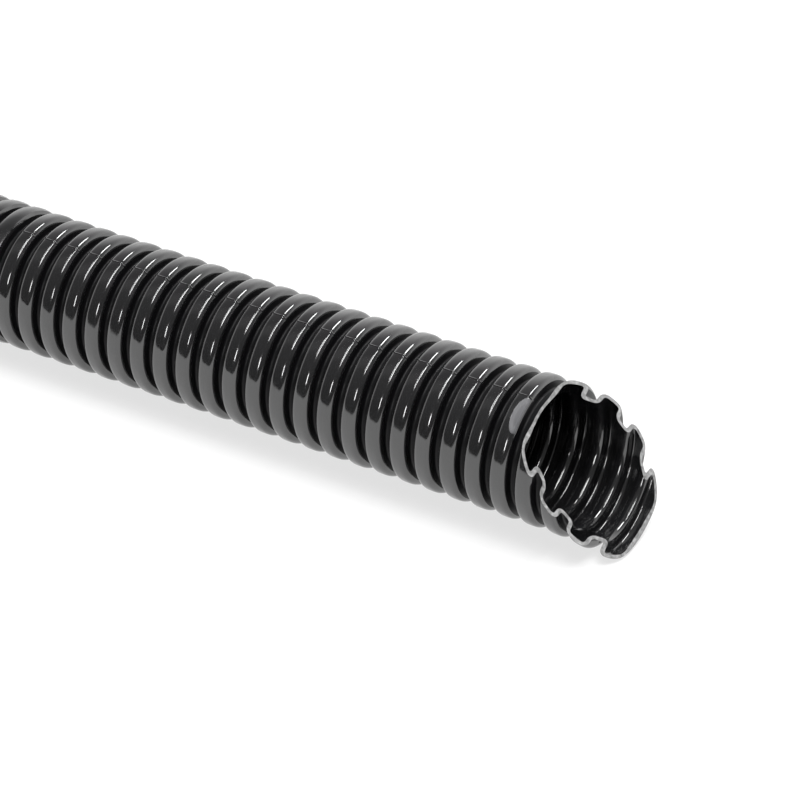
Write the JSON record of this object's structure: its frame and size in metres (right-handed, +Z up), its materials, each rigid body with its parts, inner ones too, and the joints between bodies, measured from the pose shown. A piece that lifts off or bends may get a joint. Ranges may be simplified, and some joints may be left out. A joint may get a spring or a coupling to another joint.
{
  "type": "corrugated conduit",
  "caption": "Straight length of ring-corrugated plastic wiring conduit, one end cut square and the other snipped off at a slant.",
  "frame": {"origin": "middle of the bounding box's bottom face, on the surface that the conduit lies on", "axes": "+X along the conduit's axis towards the slanted end, +Z up"},
  "size_m": [1, 0.0212, 0.0212],
  "materials": {
    "conduit": "glossy black moulded polyamide"
  },
  "bodies": {
    "root": {"conduit": "conduit"}
  },
  "joints": []
}
